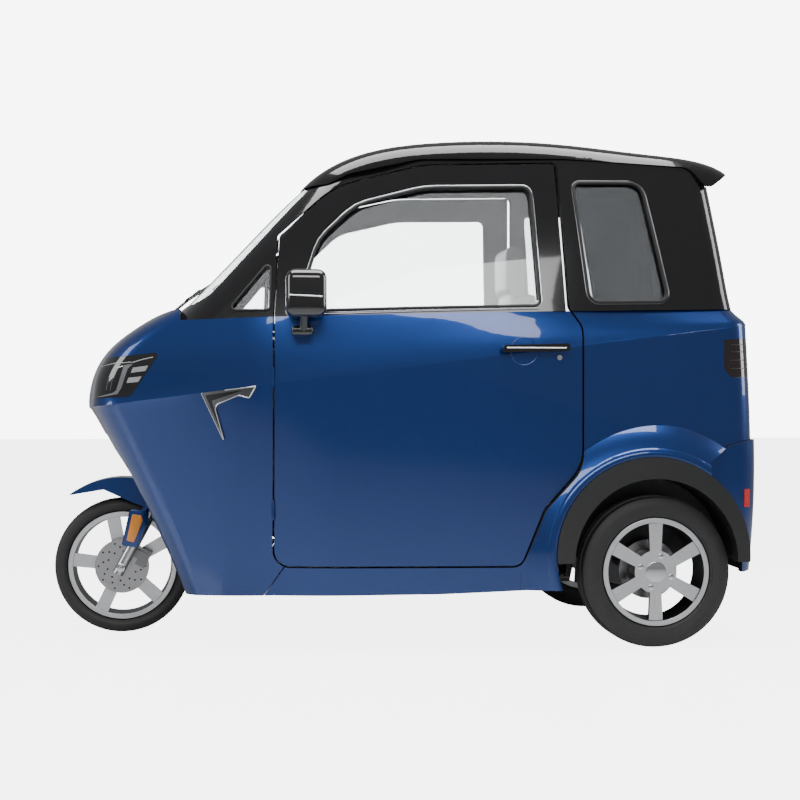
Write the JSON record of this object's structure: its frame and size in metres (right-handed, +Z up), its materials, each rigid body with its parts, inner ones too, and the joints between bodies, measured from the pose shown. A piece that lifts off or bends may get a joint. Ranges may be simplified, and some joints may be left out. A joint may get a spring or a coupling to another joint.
{
  "type": "three-wheeled cabin car",
  "caption": "Compact enclosed electric tricycle with a steered front wheel, driven rear wheels, two hinged doors, a glazed tailgate and a glossy roof with a rear lip.",
  "frame": {"origin": "on the ground under the middle of the vehicle box", "axes": "+X forward, +Y to the left side, +Z up"},
  "size_m": [2.2281, 1.412, 1.6027],
  "materials": {
    "blue_paint": "metallic clear coat",
    "black_gloss": "gloss",
    "black_satin": "satin",
    "window_glass": "clear",
    "lamp_lens": "clear lens over chrome",
    "smoked_lens": "smoked lens",
    "chrome_trim": "bright",
    "chassis_black": "powder coat",
    "motor_casting": "cast",
    "spring_steel": "painted",
    "battery_case": "matte",
    "seat_cover": "grained",
    "fork_alloy": "polished",
    "wheel_alloy": "machined",
    "tyre_rubber": "matte",
    "disc_steel": "ground"
  },
  "bodies": {
    "body": {"front_cowl": "blue_paint", "headlamps": "lamp_lens", "sills": "blue_paint", "rear_body": "blue_paint", "rear_bumper": "blue_paint", "arch_trims": "black_satin", "tail_lamps": "smoked_lens", "fender_trims": "chrome_trim", "roof_panel": "black_gloss", "cabin_frame": "black_gloss", "quarter_frame_left": "black_gloss", "quarter_frame_right": "black_gloss", "tail_frame": "black_gloss", "front_quarter_glass": "window_glass", "rear_quarter_glass": "window_glass", "windscreen": "window_glass", "wheel_houses": "black_satin", "floor_liner": "black_satin", "chassis_frame": "chassis_black", "rear_axle": "chassis_black", "drive_motor": "motor_casting", "rear_springs": "spring_steel", "battery_pack": "battery_case", "driver_seat": "seat_cover", "rear_bench": "seat_cover", "dashboard": "black_satin", "wiper": "black_satin", "plate_holder": "black_satin"},
    "fork": {"handlebar": "black_satin", "fork_legs": "fork_alloy", "front_mudguard": "blue_paint", "front_caliper": "motor_casting"},
    "front_wheel": {"front_tyre": "tyre_rubber", "front_rim": "wheel_alloy", "front_disc": "disc_steel"},
    "rear_wheel_left": {"rear_tyre_left": "tyre_rubber", "rear_rim_left": "wheel_alloy", "rear_disc_left": "disc_steel"},
    "door_left": {"door_panel_left": "blue_paint", "door_frame_left": "black_gloss", "door_glass_left": "window_glass", "door_handle_left": "black_gloss", "door_mirror_left": "black_gloss"},
    "rear_wheel_right": {"rear_tyre_right": "tyre_rubber", "rear_rim_right": "wheel_alloy", "rear_disc_right": "disc_steel"},
    "door_right": {"door_panel_right": "blue_paint", "door_frame_right": "black_gloss", "door_glass_right": "window_glass", "door_handle_right": "black_gloss", "door_mirror_right": "black_gloss"},
    "tailgate": {"tailgate_frame": "black_gloss", "tailgate_glass": "window_glass"}
  },
  "joints": [
    {"name": "steering", "type": "hinge", "parent": "body", "child": "fork", "pos_m": [0.86528, 0, 0.20785], "axis": [-0.4695, 0, 0.8829], "range_deg": [-35, 35]},
    {"name": "front_wheel_spin", "type": "hinge", "parent": "fork", "child": "front_wheel", "pos_m": [0.89, 0, 0.221], "axis": [0, 1, 0], "continuous": true},
    {"name": "rear_wheel_left_spin", "type": "hinge", "parent": "body", "child": "rear_wheel_left", "pos_m": [-0.765, 0.4975, 0.234], "axis": [0, 1, 0], "continuous": true},
    {"name": "rear_wheel_right_spin", "type": "hinge", "parent": "body", "child": "rear_wheel_right", "pos_m": [-0.765, -0.4975, 0.234], "axis": [0, 1, 0], "continuous": true},
    {"name": "door_left_hinge", "type": "hinge", "parent": "body", "child": "door_left", "pos_m": [0.407, 0.511, 0.42], "axis": [0, -0.0745, -0.9972], "range_deg": [0, 65]},
    {"name": "door_right_hinge", "type": "hinge", "parent": "body", "child": "door_right", "pos_m": [0.407, -0.511, 0.42], "axis": [0, -0.0745, 0.9972], "range_deg": [0, 65]},
    {"name": "tailgate_hinge", "type": "hinge", "parent": "body", "child": "tailgate", "pos_m": [-0.992, 0, 1.433], "axis": [0, 1, 0], "range_deg": [0, 75]}
  ]
}
